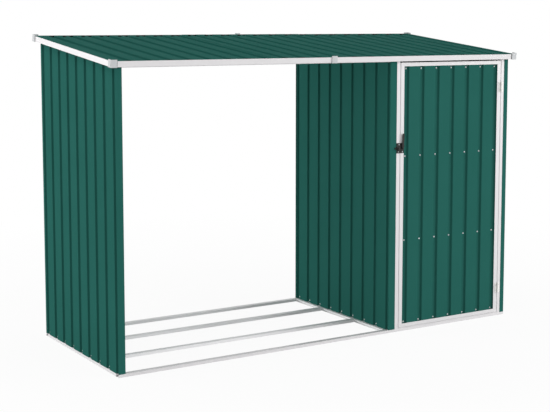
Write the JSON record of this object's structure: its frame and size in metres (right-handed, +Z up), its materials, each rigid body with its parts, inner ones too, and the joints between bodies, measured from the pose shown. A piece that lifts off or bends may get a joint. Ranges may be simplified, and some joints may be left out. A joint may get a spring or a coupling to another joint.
{
  "type": "log store",
  "caption": "Free-standing log store of ribbed green steel with a sloping roof, an open log bay on floor rails and a cupboard with a hinged door and drop latch.",
  "frame": {"origin": "on the ground, under the middle of the roof", "axes": "+X to the right seen from the front, +Y to the back, +Z up; the door and the open bay face -Y"},
  "size_m": [2.45, 0.984, 1.5905],
  "materials": {
    "green_coated_steel": "satin polyester coating",
    "pale_coated_steel": "satin polyester coating",
    "grey_plastic": "moulded, fine grain",
    "black_latch": "moulded, satin",
    "zinc_hinge": "zinc plated, pale"
  },
  "bodies": {
    "store": {"base_front_rail": "pale_coated_steel", "base_back_rail": "pale_coated_steel", "base_left_rail": "pale_coated_steel", "base_right_rail": "pale_coated_steel", "base_partition_rail": "pale_coated_steel", "floor_rail_front": "pale_coated_steel", "floor_rail_back": "pale_coated_steel", "left_wall": "green_coated_steel", "partition_wall": "green_coated_steel", "right_wall": "green_coated_steel", "cupboard_back_wall": "green_coated_steel", "left_front_post": "green_coated_steel", "left_back_post": "green_coated_steel", "partition_front_post": "green_coated_steel", "partition_back_post": "pale_coated_steel", "right_front_post": "green_coated_steel", "right_back_post": "pale_coated_steel", "front_beam": "pale_coated_steel", "bay_back_beam": "pale_coated_steel", "cupboard_back_beam": "pale_coated_steel", "left_top_rail": "pale_coated_steel", "partition_top_rail": "pale_coated_steel", "right_top_rail": "pale_coated_steel", "door_head": "pale_coated_steel", "door_jamb_left": "pale_coated_steel", "door_jamb_right": "pale_coated_steel", "roof_sheet_left": "green_coated_steel", "roof_sheet_middle": "green_coated_steel", "roof_sheet_right": "green_coated_steel", "trim_front_left": "pale_coated_steel", "trim_front_right": "pale_coated_steel", "trim_back_left": "pale_coated_steel", "trim_back_right": "pale_coated_steel", "trim_left": "pale_coated_steel", "trim_right": "pale_coated_steel", "trim_joiners": "grey_plastic", "corner_caps_front": "grey_plastic", "corner_caps_back": "grey_plastic", "hinge_jamb_leaves": "zinc_hinge", "latch_keeper": "black_latch"},
    "door": {"door_panel": "green_coated_steel", "door_stile_left": "pale_coated_steel", "door_stile_right": "pale_coated_steel", "door_rail_top": "pale_coated_steel", "door_rail_bottom": "pale_coated_steel", "door_braces": "pale_coated_steel", "hinge_door_leaves": "zinc_hinge", "latch_body": "black_latch"},
    "latch_bar": {"latch_bar": "black_latch"}
  },
  "joints": [
    {"name": "door_hinge", "type": "hinge", "parent": "store", "child": "door", "pos_m": [1.1415, -0.4629, 0.72], "axis": [0, 0, 1], "range_deg": [0, 110]},
    {"name": "latch_pivot", "type": "hinge", "parent": "door", "child": "latch_bar", "pos_m": [0.4555, -0.465, 0.99], "axis": [0, -1, 0], "range_deg": [0, 94]}
  ]
}
